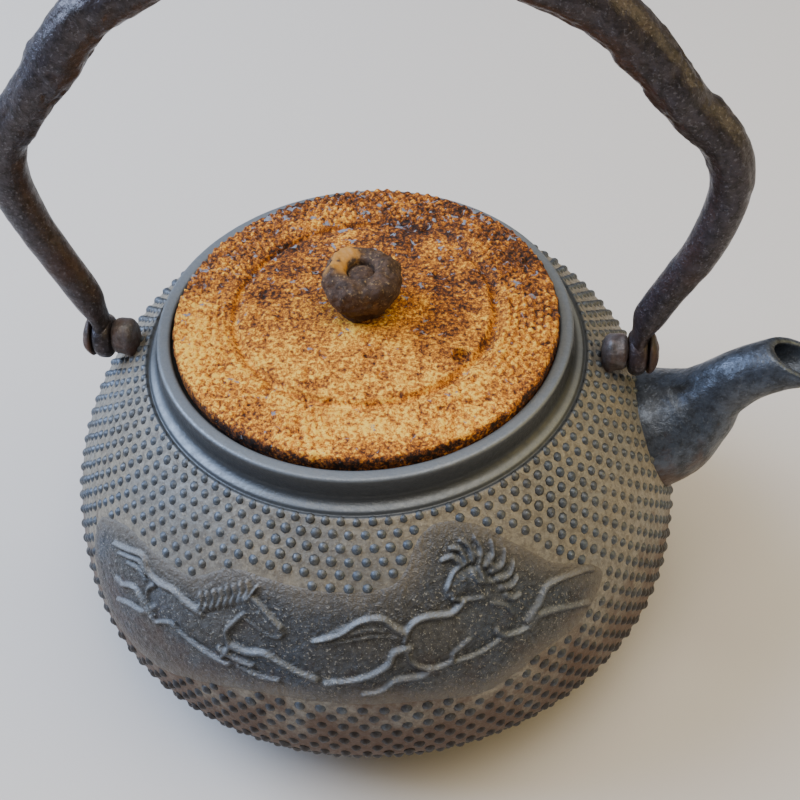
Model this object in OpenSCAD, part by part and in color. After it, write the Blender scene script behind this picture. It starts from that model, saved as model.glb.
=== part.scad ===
// Cast iron kettle: hollow bowl with a collared mouth, spout, swinging branch handle and lift-off lid.
// Millimetres. The origin is the middle of the flat base, +Z is up and the spout points along +X.

/* [Bowl] */
// Widest diameter of the bowl
bowl_d = 180; // [178:1:184]
// Height of the widest part above the base
belly_h = 30; // [28:1:32]
// Rise of the shoulder curve above the widest part
shoulder_rise = 84; // [83:0.5:85]
// Fullness of the shoulder curve, where 2 is an ellipse
shoulder_power = 2.12; // [2.06:0.02:2.2]
// Fullness of the curve under the belly
belly_power = 1.6; // [1.5:0.1:2]
// Diameter of the flat base
base_d = 104; // [98:1:110]
// Thickness of the cast wall
wall = 3.2; // [2.6:0.1:3.6]
// Thickness of the floor
floor_t = 4.5; // [4:0.1:6]

/* [Mouth collar] */
// Height of the collar's top above the base
collar_top = 102.4; // [102:0.1:103]
// Inside diameter of the collar above the lid's ledge
collar_inner_d = 104; // [103.6:0.1:104.4]
// Outside diameter of the collar
collar_outer_d = 111.6; // [111:0.1:112.4]
// Depth of the lid's ledge below the collar's top
ledge_depth = 3; // [2.8:0.1:3.2]
// Diameter of the mouth inside the ledge
mouth_d = 92; // [91.6:0.1:92.4]

/* [Lid] */
// Diameter of the lid
lid_d = 103; // [102:0.1:103.2]
// Height of the lid's rim
lid_rim_h = 5.2; // [4.8:0.1:5.4]
// Thickness of the lid's crown
lid_t = 3.4; // [3.2:0.1:3.6]
// Rise of the crown from the rim to the knob
lid_rise = 2.4; // [2.2:0.1:2.6]
// Radius of the ring groove
ring_r = 35; // [34.5:0.5:36]
// Diameter of the vent hole
vent_d = 3.2; // [2.4:0.1:3.6]

/* [Knob] */
// Largest diameter of the knob
knob_d = 20.4; // [20:0.1:22]
// Height of the knob
knob_h = 13.6; // [13.4:0.1:14]
// Diameter of the knob's stem
stem_d = 4; // [3.6:0.1:4.2]

/* [Handle] */
// Height of the handle's pivot above the base
pivot_h = 93; // [92.5:0.1:93.5]
// Distance from the middle of the kettle to the middle of each eye
eye_x = 73.2; // [73:0.1:73.6]
// Thickness of each flattened eye
eye_t = 5; // [4.6:0.1:5.2]
// Outside diameter of each eye
eye_d = 12.6; // [12.4:0.1:13.2]
// Diameter of the handle's pins
pin_d = 5; // [4.6:0.1:5.2]
// Radial clearance between a pin and the eye on it
pin_clearance = 0.05; // [0.02:0.01:0.1]
// Handle radius where a leg leaves its eye
leg_r = 4.4; // [4:0.1:4.8]
// Handle radius along the arch
arch_r = 6; // [5.6:0.1:6.4]

/* [Spout] */
// Wall thickness of the spout
spout_wall = 2.2; // [2:0.1:2.6]
// Diameter of the hole from the bowl into the spout
spout_hole_d = 20; // [16:1:22]

/* [Hidden] */

$fn = 96;
iron = [0.33, 0.32, 0.30];
dark_iron = [0.24, 0.22, 0.21];
rust = [0.66, 0.42, 0.18];
dark_rust = [0.30, 0.21, 0.15];

bowl_r = bowl_d / 2;
base_r = base_d / 2;
curve_steps = 22;
// Level at which the collar's casting takes over from the bowl's
split_z = 92;
// The curve under the belly would reach this depth at the axis, if the base did not cut it off
belly_depth = belly_h / pow(1 - pow(base_r / bowl_r, belly_power), 1 / belly_power);
ledge_z = collar_top - ledge_depth;
lid_bottom = ledge_z + 0.1;
lid_rim_top = lid_bottom + lid_rim_h;
lid_crown_top = lid_rim_top + lid_rise;
lid_r = lid_d / 2;
stem_r = stem_d / 2;
// Middle of the vent hole, seen from above
vent_xy = [26.4, -16.6];
lug_face_x = eye_x - eye_t / 2 - 0.3;
pin_head_x = eye_x + eye_t / 2 + 0.3;
// Inner end of each pin, just outside the bowl's wall at the pivot's height
pin_root_x = 65.8;
lug_r = 6;
lug_root_x = 61.5;

// Radius of a curve with half axis r_axis, fullness p, at the angle t above the widest part
function curve_r(r_axis, p, t) = r_axis * pow(cos(t), 2 / p);
// Its height above or below the widest part, for half axis z_axis
function curve_z(z_axis, p, t) = z_axis * pow(sin(t), 2 / p);
// The angle at which the curve's height is z
function angle_at_z(z_axis, p, z) = asin(pow(z / z_axis, p / 2));
// The angle at which the curve's radius is r
function angle_at_r(r_axis, p, r) = acos(pow(r / r_axis, p / 2));

// Shoulder curve from angle t0 to t1, moved inwards by inset
function shoulder(inset, t0, t1) = [for (i = [0:curve_steps])
    let (t = t0 + (t1 - t0) * i / curve_steps)
    [curve_r(bowl_r - inset, shoulder_power, t),
     belly_h + curve_z(shoulder_rise - inset, shoulder_power, t)]];

// Curve under the belly from angle t0 to t1, moved inwards by inset
function under_belly(inset, t0, t1) = [for (i = [0:curve_steps - 1])
    let (t = t0 + (t1 - t0) * i / curve_steps)
    [curve_r(bowl_r - inset, belly_power, t),
     belly_h - curve_z(belly_depth - inset, belly_power, t)]];

split_t = angle_at_z(shoulder_rise, shoulder_power, split_z - belly_h);
inner_split_t = angle_at_z(shoulder_rise - wall, shoulder_power, split_z - belly_h);
base_t = angle_at_r(bowl_r, belly_power, base_r);
floor_angle = angle_at_z(belly_depth - wall, belly_power, belly_h - floor_t);
neck_t = angle_at_r(bowl_r, shoulder_power, 60.2);

// Outside of the whole bowl without its collar, as one closed solid that other pieces are cut with
module bowl_outside() {
    rotate_extrude()
    polygon(concat(
        [[0, 0]],
        under_belly(0, base_t, 0),
        shoulder(0, 0, neck_t),
        [[collar_outer_d / 2, 96.2], [collar_outer_d / 2, collar_top], [0, collar_top]]));
}

// Hollow bowl with a flat base, open at the top where the collar stands
module body_shell() {
    color(iron)
    difference() {
        rotate_extrude()
        polygon(concat(
            [[0, 0]],
            under_belly(0, base_t, 0),
            shoulder(0, 0, split_t),
            shoulder(wall, inner_split_t, 0),
            under_belly(wall, 0, floor_angle),
            [[0, floor_t]]));
        translate([60, 0, spout_hole_z])
        rotate([0, 90, 0])
        cylinder(d = spout_hole_d, h = 40);
    }
}

// Ring that carries the top of the shoulder, the groove round the collar, the collar and its inner ledge
module mouth_collar() {
    collar_r = collar_outer_d / 2;
    groove_z = 94.1;
    color(iron)
    rotate_extrude()
    polygon(concat(
        shoulder(0, split_t, neck_t),
        [[59.6, groove_z],
         [58.8, groove_z],
         [57.4, groove_z + 0.8],
         [collar_r + 0.4, groove_z + 2.1],
         [collar_r, groove_z + 3.3],
         [collar_r, collar_top - 0.8],
         [collar_r - 0.8, collar_top],
         [collar_inner_d / 2 + 0.6, collar_top],
         [collar_inner_d / 2, collar_top - 0.6],
         [collar_inner_d / 2, ledge_z],
         [mouth_d / 2, ledge_z],
         [mouth_d / 2, ledge_z - 2.6],
         [54, split_z],
         [curve_r(bowl_r - wall, shoulder_power, inner_split_t), split_z]]));
}

// A closed tube along a path in the XZ plane. Each row of path is [x, z, half width in the plane,
// half width along Y, shift along Y], and the rings stand square to the path.
module tube(path, sides) {
    rings = len(path);
    ring_points = [for (i = [0:rings - 1])
        let (
            before = path[max(i - 1, 0)],
            after = path[min(i + 1, rings - 1)],
            run = [after[0] - before[0], after[1] - before[1]],
            along = run / norm(run),
            p = path[i])
        for (k = [0:sides - 1])
            let (
                across = p[2] * cos(360 * k / sides),
                side = p[3] * sin(360 * k / sides) + p[4])
            [p[0] - along[1] * across, side, p[1] + along[0] * across]];
    walls = [for (i = [0:rings - 2], k = [0:sides - 1])
        let (
            a = i * sides + k,
            b = i * sides + (k + 1) % sides)
        [a, b, b + sides, a + sides]];
    first_cap = [[for (k = [sides - 1:-1:0]) k]];
    last_cap = [[for (k = [0:sides - 1]) (rings - 1) * sides + k]];
    polyhedron(ring_points, concat(first_cap, walls, last_cap), convexity = 6);
}

// One value of a smooth curve through b and c, with a and d as the neighbours
function smooth(a, b, c, d, t) =
    0.5 * (2 * b + (c - a) * t + (2 * a - 5 * b + 4 * c - d) * t * t
    + (3 * b - a - 3 * c + d) * t * t * t);

// A smooth curve through all the rows of a list, with steps rings between two rows
function smooth_path(rows, steps) = concat(
    [for (i = [0:len(rows) - 2], s = [0:steps - 1])
        smooth(rows[max(i - 1, 0)], rows[i], rows[i + 1], rows[min(i + 2, len(rows) - 1)], s / steps)],
    [rows[len(rows) - 1]]);

// Middle of the spout from its root to past its mouth: [x, z, radius]
spout_rows = [[70, 58, 18.6], [78, 61.5, 18], [86, 66.5, 16], [92, 72.5, 12.2], [96.5, 79, 8.8],
    [101.5, 84.5, 7.7], [108, 88.8, 7.4], [116, 91.6, 7.4], [130, 94, 7.6]];
spout_hole_z = 62;
// The mouth is cut by a plane that goes down from its back edge to its lip
mouth_back = [107.5, 95.6];
mouth_lip = [126.5, 87.2];

// Rows for the spout's outside when inset is 0, or for its bore when inset is the wall
function spout_path(inset) = smooth_path(
    [for (row = spout_rows) [row[0], row[1], row[2] - inset, row[2] - inset, 0]], 3);

module spout() {
    slope = atan2(mouth_lip[1] - mouth_back[1], mouth_lip[0] - mouth_back[0]);
    color(dark_iron)
    difference() {
        tube(spout_path(0), 28);
        tube(concat([[60, 52, 14, 14, 0]], spout_path(spout_wall), [[134, 95, 5.4, 5.4, 0]]), 24);
        bowl_outside();
        translate([mouth_back[0], 0, mouth_back[1]])
        rotate([0, -slope, 0])
        translate([-20, -20, 0])
        cube([60, 40, 30]);
        translate([126.5, -20, 70])
        cube([20, 40, 40]);
    }
}

// Round stub on the shoulder of the +X side, with a foot that runs down into the shoulder
module lug() {
    lug_length = lug_face_x - lug_root_x;
    difference() {
        union() {
            translate([lug_root_x, 0, pivot_h])
            rotate([0, 90, 0])
            rotate_extrude()
            polygon(concat(
                [[0, 0]],
                [for (a = [15:15:90]) [lug_r * sin(a), lug_r - lug_r * cos(a)]],
                [[lug_r, lug_length - 0.8], [lug_r - 0.8, lug_length], [0, lug_length]]));
            translate([58, 0, 80])
            rotate([0, 32, 0])
            cylinder(r = 5, h = 13.5);
        }
        bowl_outside();
        translate([pin_root_x, 0, pivot_h])
        rotate([0, 90, 0])
        cylinder(d = pin_d, h = 20);
    }
}

module lug_right() {
    color(dark_iron)
    lug();
}

module lug_left() {
    color(dark_iron)
    mirror([1, 0, 0])
    lug();
}

// Pin of the +X side: a shank in the lug's bore and through the eye, and a domed head outside
module handle_pin() {
    head_r = 5.8;
    head_h = 3;
    head_rim = 0.6;
    shank = pin_head_x - pin_root_x;
    translate([pin_root_x, 0, pivot_h])
    rotate([0, 90, 0])
    rotate_extrude()
    polygon(concat(
        [[0, 0], [pin_d / 2 - 0.4, 0], [pin_d / 2, 0.4], [pin_d / 2, shank]],
        [[head_r, shank]],
        [for (a = [0:15:75]) [head_r * cos(a), shank + head_rim + (head_h - head_rim) * sin(a)]],
        [[0, shank + head_h]]));
}

module handle_pin_right() {
    color(dark_rust)
    handle_pin();
}

module handle_pin_left() {
    color(dark_rust)
    mirror([1, 0, 0])
    handle_pin();
}

// Middle of the branch handle from the left eye over the arch to the right eye, chosen by hand:
// [x, z, half width in the plane, half width along Y, shift along Y]
handle_rows = [
    [-73.2, 97.0, 2.4, 4.4, 0],
    [-73.5, 101.5, 2.6, 4.5, 0],
    [-75.0, 107.0, leg_r, leg_r, 0.2],
    [-77.6, 114.5, 4.6, 4.6, 0.4],
    [-80.8, 123.0, 4.8, 4.8, 0.7],
    [-83.6, 131.5, 4.9, 4.9, 0.8],
    [-85.8, 143.0, 5.5, 5.4, 0.5],
    [-85.6, 152.0, 6.0, 5.8, 0],
    [-82.6, 160.6, 6.1, 5.8, -0.6],
    [-76.4, 167.4, 5.5, 5.7, -1.0],
    [-71.0, 173.6, 5.9, 5.8, -1.2],
    [-66.0, 179.6, 6.2, 6.0, -1.0],
    [-57.4, 190.0, arch_r, arch_r, -0.4],
    [-45.0, 197.6, 5.8, arch_r, 0.4],
    [-31.0, 203.8, 5.7, arch_r, 1.0],
    [-16.0, 206.8, arch_r, 5.9, 1.2],
    [0.0, 208.0, 6.1, 6.1, 0.8],
    [17.0, 207.2, 5.8, 5.9, 0.2],
    [34.0, 204.0, 5.8, arch_r, -0.6],
    [49.2, 197.9, 6.1, arch_r, -1.0],
    [60.9, 189.6, arch_r, arch_r, -1.0],
    [70.0, 178.4, arch_r, 5.9, -0.4],
    [77.4, 169.0, 5.8, 5.8, 0.2],
    [85.2, 161.0, 5.5, 5.6, 0.6],
    [88.8, 151.0, 5.3, 5.4, 0.8],
    [88.6, 142.0, 5.1, 5.2, 0.6],
    [85.6, 130.0, 4.9, 4.9, 0.2],
    [81.4, 121.0, 4.7, 4.7, -0.2],
    [78.0, 113.6, 4.5, 4.5, -0.2],
    [75.0, 106.4, leg_r, leg_r, -0.1],
    [73.5, 101.0, 2.6, 4.5, 0],
    [73.2, 97.0, 2.4, 4.4, 0]];

// Flattened eye of the +X side
module eye() {
    translate([eye_x - eye_t / 2, 0, pivot_h])
    rotate([0, 90, 0])
    cylinder(d = eye_d, h = eye_t);
}

module handle() {
    color(dark_iron)
    difference() {
        union() {
            tube(smooth_path(handle_rows, 2), 18);
            eye();
            mirror([1, 0, 0])
            eye();
        }
        for (side = [-1, 1])
            translate([side * eye_x - 5, 0, pivot_h])
            rotate([0, 90, 0])
            cylinder(d = pin_d + 2 * pin_clearance, h = 10);
    }
}

// Lid with a rounded rim, a ring groove, a crown that rises to the knob, and a locating skirt
module lid() {
    skirt_r = mouth_d / 2 - 0.5;
    ring_z = lid_rim_top + 0.45 * lid_rise;
    color(rust)
    difference() {
        rotate_extrude()
        polygon([
            [0, lid_crown_top],
            [9, lid_crown_top],
            [20, lid_crown_top - 0.35],
            [ring_r - 1.6, ring_z + 0.3],
            [ring_r - 0.9, ring_z - 0.6],
            [ring_r + 0.6, ring_z - 0.6],
            [ring_r + 1.4, ring_z],
            [44, lid_rim_top + 0.5],
            [lid_r - 1.4, lid_rim_top],
            [lid_r - 0.4, lid_rim_top - 0.4],
            [lid_r, lid_rim_top - 1.4],
            [lid_r, lid_bottom],
            [skirt_r, lid_bottom],
            [skirt_r, lid_bottom - 4.4],
            [skirt_r - 2.4, lid_bottom - 4.4],
            [skirt_r - 2.4, lid_rim_top - lid_t],
            [ring_r, ring_z - lid_t],
            [20, lid_crown_top - 0.35 - lid_t],
            [9, lid_crown_top - lid_t],
            [0, lid_crown_top - lid_t]]);
        translate([0, 0, lid_bottom])
        cylinder(r = stem_r, h = 20);
        translate([vent_xy[0], vent_xy[1], lid_bottom])
        cylinder(d = vent_d, h = 20);
    }
}

// Bud with a narrow foot, a wide middle and a hollow top that holds the stem's head
module knob() {
    knob_r = knob_d / 2;
    color(dark_rust)
    translate([0, 0, lid_crown_top + 0.1])
    difference() {
        rotate_extrude()
        polygon([
            [0, 0],
            [6.4, 0],
            [6.6, 0.8],
            [6.2, 1.8],
            [7.4, 3.6],
            [knob_r - 0.9, 5.8],
            [knob_r, 8.2],
            [knob_r - 0.3, 10.4],
            [knob_r - 1.6, 12.4],
            [knob_r - 3.2, knob_h],
            [5.4, knob_h - 0.4],
            [4.4, knob_h - 1.8],
            [4.1, knob_h - 3.2],
            [0, knob_h - 3.2]]);
        translate([0, 0, -1])
        cylinder(r = stem_r + 0.05, h = 20);
    }
}

// Rivet through the lid and the knob, with a head in the knob's hollow and a peened end below
module knob_stem() {
    knob_floor = lid_crown_top + 0.1 + knob_h - 3.2;
    peen_z = lid_crown_top - lid_t - 1.4;
    color(dark_rust)
    rotate_extrude()
    polygon([
        [0, peen_z - 1.3],
        [1.8, peen_z - 1.1],
        [3.0, peen_z],
        [stem_r, peen_z],
        [stem_r, knob_floor + 0.15],
        [3.4, knob_floor + 0.15],
        [3.2, knob_floor + 0.9],
        [2.0, knob_floor + 1.5],
        [0, knob_floor + 1.7]]);
}

// Washer under the lid that the stem's end is peened over
module clinch_washer() {
    color(dark_rust)
    translate([0, 0, lid_crown_top - lid_t - 1.4])
    difference() {
        cylinder(r = 6.5, h = 1.4);
        translate([0, 0, -1])
        cylinder(r = stem_r, h = 4);
    }
}

body_shell();
mouth_collar();
spout();
lug_left();
lug_right();
handle_pin_left();
handle_pin_right();
handle();
lid();
knob();
knob_stem();
clinch_washer();
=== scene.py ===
import math

import bpy
import numpy as np
from mathutils import Matrix


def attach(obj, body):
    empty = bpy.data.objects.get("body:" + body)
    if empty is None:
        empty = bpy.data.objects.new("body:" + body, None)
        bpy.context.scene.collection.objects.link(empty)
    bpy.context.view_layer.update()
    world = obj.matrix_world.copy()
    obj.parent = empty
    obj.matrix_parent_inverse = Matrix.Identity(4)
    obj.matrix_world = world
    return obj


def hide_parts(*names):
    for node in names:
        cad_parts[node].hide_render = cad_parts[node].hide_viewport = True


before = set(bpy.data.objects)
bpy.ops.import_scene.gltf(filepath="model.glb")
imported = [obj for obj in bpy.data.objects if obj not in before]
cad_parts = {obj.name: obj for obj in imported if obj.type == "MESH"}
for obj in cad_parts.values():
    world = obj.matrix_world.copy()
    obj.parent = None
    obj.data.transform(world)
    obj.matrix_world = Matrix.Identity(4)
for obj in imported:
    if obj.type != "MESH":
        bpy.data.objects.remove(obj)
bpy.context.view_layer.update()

mm = 0.001  # every shape below is worked out in millimetres and turned to metres in newObject
fullTurn = 2 * math.pi


# small tools

# a random number sits at each corner of a cubic lattice of the cell's size, and is blended
# between corners by 3t^2 - 2t^3 along each axis; the result runs from -1 to 1
def latticeNoise(points, cell, seed):
    scaled = points / cell + 37.7 * seed
    base = np.floor(scaled).astype(np.int64)
    part = scaled - base
    part = part * part * (3 - 2 * part)
    total = np.zeros(points.shape[:-1])
    for corner in range(8):
        step = np.array([corner & 1, corner >> 1 & 1, corner >> 2 & 1])
        key = (base + step) @ np.array([73856093, 19349663, 83492791]) + seed * 2654435
        key = ((key ^ key >> 13) * 1274126177) & 0x7FFFFFFF
        key = ((key ^ key >> 15) * 668265263) & 0x7FFFFFFF
        weight = np.prod(np.where(step, part, 1 - part), axis=-1)
        total += weight * ((key >> 8 & 0xFFFF) / 32767.5 - 1)
    return total


# lattice noise plus copies of half the cell and half the strength
def layeredNoise(points, cell, seed, layers=3):
    return sum(latticeNoise(points, cell / 2 ** i, seed + i) / 2 ** i for i in range(layers)) / 1.5


# 0 below low, 1 above high, and 3t^2 - 2t^3 between
def ease(value, low, high):
    t = np.clip((value - low) / (high - low), 0, 1)
    return t * t * (3 - 2 * t)


# each corner of an open line is cut off at a quarter of its two sides, several times over
def cutCorners(line, passes=2):
    line = np.array(line, float)
    for _ in range(passes):
        a, b = line[:-1], line[1:]
        cut = np.stack([0.75 * a + 0.25 * b, 0.25 * a + 0.75 * b], axis=1).reshape(-1, line.shape[1])
        line = np.concatenate([line[:1], cut, line[-1:]])
    return line


# points at equal steps of length along a line
def evenSteps(line, step):
    line = np.array(line, float)
    run = np.concatenate([[0], np.cumsum(np.linalg.norm(np.diff(line[:, :2], axis=0), axis=1))])
    at = np.linspace(0, run[-1], max(2, round(run[-1] / step) + 1))
    return np.stack([np.interp(at, run, line[:, i]) for i in range(line.shape[1])], axis=1)


# a Catmull-Rom curve through all rows of a table, with steps points for each gap
def throughRows(rows, steps):
    rows = np.array(rows, float)
    ends = np.concatenate([rows[:1], rows, rows[-1:]])
    t = np.arange(steps)[:, None] / steps
    a, b, c, d = (ends[i:len(rows) - 1 + i, None, :] for i in range(4))
    curve = 0.5 * (2 * b + (c - a) * t + (2 * a - 5 * b + 4 * c - d) * t ** 2
                   + (3 * b - a - 3 * c + d) * t ** 3)
    return np.concatenate([curve.reshape(-1, rows.shape[1]), rows[-1:]])


# the profile's radius is turned round the Z axis in equal angles: point (r sin a, -r cos a, z)
def turned(profile, columns):
    angle = np.arange(columns) / columns * fullTurn
    r, z = profile[:, 0, None], profile[:, 1, None]
    return np.stack([r * np.sin(angle), -r * np.cos(angle), z + 0 * angle], axis=-1)


# rings stand square to a path in the XZ plane; a row is (x, z, half width in the plane, half width
# along Y, shift along Y), and a ring's point is the path's point plus those half widths times cos and sin
def tubeRings(rows, columns):
    along = np.gradient(rows[:, :2], axis=0)
    along /= np.linalg.norm(along, axis=1, keepdims=True)
    angle = np.arange(columns) / columns * fullTurn
    across = rows[:, 2, None] * np.cos(angle)
    side = rows[:, 3, None] * np.sin(angle) + rows[:, 4, None]
    return np.stack([rows[:, 0, None] - along[:, 1, None] * across, side,
                     rows[:, 1, None] + along[:, 0, None] * across], axis=-1)


# the direction square to the surface at each grid point, outwards where the rings run that way round:
# the cross product of the two differences along the grid
def gridNormals(grid):
    ring = np.roll(grid, -1, axis=1) - np.roll(grid, 1, axis=1)
    normal = np.cross(ring, np.gradient(grid, axis=0))
    return normal / np.maximum(np.linalg.norm(normal, axis=-1, keepdims=True), 1e-9)


# quads between neighbouring rings; ends "joined" ties the last ring to the first, and "poles" closes
# each end with a fan round the mean of its ring
def closedShell(grid, ends):
    rows, columns = grid.shape[:2]
    points = grid.reshape(-1, 3)
    row, column = np.meshgrid(np.arange(rows if ends == "joined" else rows - 1),
                              np.arange(columns), indexing="ij")
    nextRow, nextColumn = (row + 1) % rows, (column + 1) % columns
    faces = np.stack([row * columns + column, row * columns + nextColumn,
                      nextRow * columns + nextColumn, nextRow * columns + column], axis=-1).reshape(-1, 4)
    faces = faces.tolist()
    if ends == "poles":
        first, last = len(points), len(points) + 1
        points = np.concatenate([points, [grid[0].mean(axis=0)], [grid[-1].mean(axis=0)]])
        side = np.arange(columns)
        ahead = (side + 1) % columns
        faces += np.stack([np.full(columns, first), ahead, side], axis=1).tolist()
        far = (rows - 1) * columns
        faces += np.stack([np.full(columns, last), far + side, far + ahead], axis=1).tolist()
    return points, faces


# true where faces point inwards: six times the enclosed volume, summed from the triangles of each face
# seen from the origin, is then below 0
def turnsInside(points, faces):
    quads = np.array([f if len(f) == 4 else [*f, f[2]] for f in faces])
    a, b, c, d = (points[quads[:, i]] for i in range(4))
    volume = np.einsum("ij,ij->i", a, np.cross(b, c)) + np.einsum("ij,ij->i", a, np.cross(c, d))
    return volume.sum() < 0


# a mesh of faces over points in millimetres, and its object in the scene
def newObject(name, points, faces):
    mesh = bpy.data.meshes.new(name)
    mesh.from_pydata((points * mm).tolist(), [], faces)
    piece = bpy.data.objects.new(name, mesh)
    bpy.context.scene.collection.objects.link(piece)
    return piece


# a piece from points in millimetres with its faces turned outwards, a value for each point from each mask,
# its material, the body it rides on, its slot, which is not used, and the CAD nodes that it replaces
def makePiece(name, points, faces, body, slot, material, replaced=(), **masks):
    if turnsInside(points - points.mean(axis=0), faces):
        faces = [f[::-1] for f in faces]
    piece = newObject(name, points, faces)
    mesh = piece.data
    mesh.polygons.foreach_set("use_smooth", np.ones(len(mesh.polygons), bool))
    for mask, values in masks.items():
        attribute = mesh.attributes.new(mask, "FLOAT", "POINT")
        attribute.data.foreach_set("value", values.astype(np.float32).ravel())
    mesh.materials.append(material)
    mesh.update()
    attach(piece, body)
    if replaced:
        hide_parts(*replaced)
    print(name, len(faces), "faces")
    return piece


# materials

# sRGB to linear: c / 12.92 up to 0.04045, and ((c + 0.055) / 1.055) ^ 2.4 above
def toLinear(hexColour):
    parts = np.array([int(hexColour[i:i + 2], 16) for i in (0, 2, 4)]) / 255
    return (*np.where(parts <= 0.04045, parts / 12.92, ((parts + 0.055) / 1.055) ** 2.4).tolist(), 1.0)


# adds a node; settings are its own properties, inputs its sockets' values or the outputs linked to them,
# and stops the colours or greys of a ramp
def addNode(tree, kind, inputs=None, stops=None, **settings):
    node = tree.nodes.new("ShaderNode" + kind)
    for key, value in settings.items():
        setattr(node, key, value)
    for key, value in (inputs or {}).items():
        if isinstance(value, bpy.types.NodeSocket):
            tree.links.new(value, node.inputs[key])
        else:
            node.inputs[key].default_value = value
    if stops:
        elements = node.color_ramp.elements
        while len(elements) < len(stops):
            elements.new(0.5)
        for element, (place, colour) in zip(elements, stops):
            element.position = place
            element.color = toLinear(colour)
    return node


# a pattern's scale on Object coordinates from the size of its cells in millimetres
def perCell(millimetres):
    return 1 / (millimetres * mm)


# every finish is the same kind of surface with other numbers: an iron colour and a second one in zones, a
# darker and a lighter grain, rust that grows downwards, and a bump of two grain sizes; a piece's first mask
# turns it to the smooth colour and less rough, which on the relief is painted highlight as well as wear, its
# second mask to the shade colour, which is painted shade on the bowl's collar and the ground's tone at the
# relief's border, and its third mask to the dark colour as painted shade
def ironFinish(name, finish):
    material = bpy.data.materials.new(name)
    material.use_nodes = True
    tree = material.node_tree
    tree.nodes.clear()
    place = addNode(tree, "TexCoord").outputs["Object"]
    zones, grain, speck, rustNoise = (
        addNode(tree, "TexNoise", {"Vector": place, "Scale": perCell(finish[size]), "Detail": detail,
                                   "Roughness": roughness}).outputs[0]
        for size, detail, roughness in (("zoneSize", 3.0, 0.6), ("grainSize", 4.0, 0.7),
                                        ("speckSize", 2.0, 0.6), ("rustSize", 5.0, 0.65)))
    height = addNode(tree, "SeparateXYZ", {"Vector": place}).outputs["Z"]
    low = addNode(tree, "MapRange", {"Value": height, "From Min": finish["rustTop"] * mm,
                                     "From Max": finish["rustBottom"] * mm,
                                     "To Min": finish["rustShare"], "To Max": 1.0}).outputs[0]
    rustSum = addNode(tree, "Math", {0: rustNoise, 1: low}, operation="ADD").outputs[0]
    colour = toLinear(finish["iron"])
    # each layer: what drives it, where it starts and where it is full, its greatest share and its colour
    for driver, starts, full, most, layer in (
            (zones, 0.38, 0.62, 1.0, "second"), (grain, 0.42, 0.62, finish["grainShare"], "dark"),
            (speck, 0.58, 0.7, finish["speckShare"], "light"),
            (rustSum, 0.95, 1.25, finish["rustMost"], "rust")):
        share = addNode(tree, "MapRange", {"Value": driver, "From Min": starts, "From Max": full,
                                           "To Max": most}).outputs[0]
        colour = addNode(tree, "Mix", {0: share, 6: colour, 7: toLinear(finish[layer])},
                         data_type="RGBA").outputs[2]
    smoothed, shaded, soiled = (addNode(tree, "Attribute", attribute_name=mask).outputs["Fac"]
                                for mask in ("smoothed", "shaded", "soiled"))
    for mask, most, layer in ((smoothed, 0.75, finish.get("smooth", finish["iron"])),
                              (shaded, 0.8, finish.get("shade", finish["dark"])),
                              (soiled, 0.85, finish["dark"])):
        share = addNode(tree, "Math", {0: mask, 1: most}, operation="MULTIPLY").outputs[0]
        colour = addNode(tree, "Mix", {0: share, 6: colour, 7: toLinear(layer)}, data_type="RGBA").outputs[2]
    rough = addNode(tree, "MapRange", {"Value": grain, "From Min": 0.35, "From Max": 0.65,
                                       "To Min": finish["roughness"] - 0.09,
                                       "To Max": finish["roughness"] + 0.09}).outputs[0]
    rough = addNode(tree, "Math", {0: smoothed, 1: -0.14, 2: rough}, operation="MULTIPLY_ADD").outputs[0]
    bumpShare = addNode(tree, "Math", {0: smoothed, 1: -0.45, 2: 0.6}, operation="MULTIPLY_ADD").outputs[0]
    bump = addNode(tree, "Bump", {"Height": grain, "Strength": bumpShare,
                                  "Distance": finish["bumpDepth"] * mm}).outputs[0]
    bump = addNode(tree, "Bump", {"Height": speck, "Strength": 0.5, "Normal": bump,
                                  "Distance": finish["bumpDepth"] * 0.4 * mm}).outputs[0]
    shader = addNode(tree, "BsdfPrincipled", {"Base Color": colour, "Roughness": rough, "Normal": bump,
                                              "Metallic": finish["metallic"]}).outputs[0]
    addNode(tree, "OutputMaterial", {"Surface": shader})
    return material


# sand-cast iron left to weather: a dull grey-tan skin with a fine grain, brown towards the base
groundIron = ironFinish("sandCastIronGround", {
    "iron": "8E8472", "second": "807D76", "dark": "534A3F", "light": "ABA18E", "rust": "543B2A",
    # its shade colour, nearly black, is painted shade on the collar's upright wall and in the groove at its
    # foot
    "smooth": "6E767E", "shade": "0B0A09",
    "zoneSize": 26, "grainSize": 1.6, "speckSize": 0.7, "grainShare": 0.6, "speckShare": 0.5,
    "rustSize": 9, "rustTop": 66, "rustBottom": 18, "rustShare": 0.35, "rustMost": 0.9,
    "roughness": 0.56, "metallic": 0.25, "bumpDepth": 0.5})
# the ground of the relief: coarse sand left its grain here, darker and greyer; its smooth colour is painted
# highlight on the sides that face up or left and wear on the ridges' tops, and its dark colour is painted
# shade on the sides that face down or right as well as the dark grain
panelIron = ironFinish("sandGrainCastIron", {
    "iron": "474E58", "second": "52504D", "dark": "1C1A18", "light": "A8A49A", "rust": "4C3628",
    "smooth": "95989A", "shade": "746C61",
    "zoneSize": 22, "grainSize": 1.3, "speckSize": 0.65, "grainShare": 0.7, "speckShare": 0.75,
    "rustSize": 9, "rustTop": 75, "rustBottom": 15, "rustShare": 0.3, "rustMost": 0.65,
    "roughness": 0.5, "metallic": 0.35, "bumpDepth": 1.1})
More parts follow.
